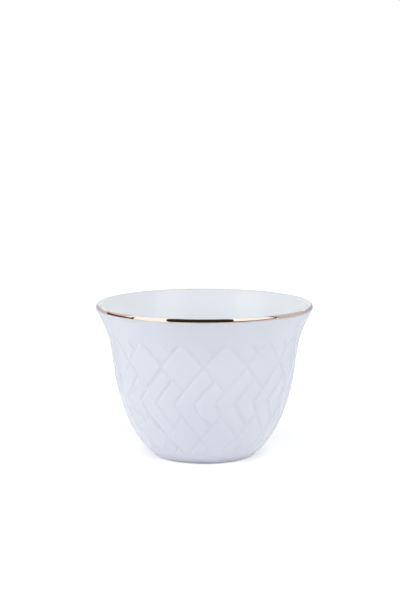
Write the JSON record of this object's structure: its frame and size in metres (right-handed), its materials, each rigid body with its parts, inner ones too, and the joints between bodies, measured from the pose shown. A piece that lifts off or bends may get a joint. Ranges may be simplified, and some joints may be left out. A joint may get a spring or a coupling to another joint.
{
  "type": "arabic coffee cup",
  "caption": "Small handleless porcelain coffee cup with a flared gold-banded lip, a grooved woven lattice round its wall and a low foot ring.",
  "frame": {"origin": "centre of the foot ring, on the plane that stands on the table", "axes": "+Z along the cup's axis, up through the mouth; the lattice's figure crosses at -Y"},
  "size_m": [0.0722, 0.0722, 0.0508],
  "materials": {
    "glazed_porcelain": "clear gloss glaze, bare on the foot's contact ring",
    "bright_gold": "fired bright-gold lustre, polished"
  },
  "bodies": {
    "root": {"porcelain_body": "glazed_porcelain", "gold_band": "bright_gold"}
  },
  "joints": []
}
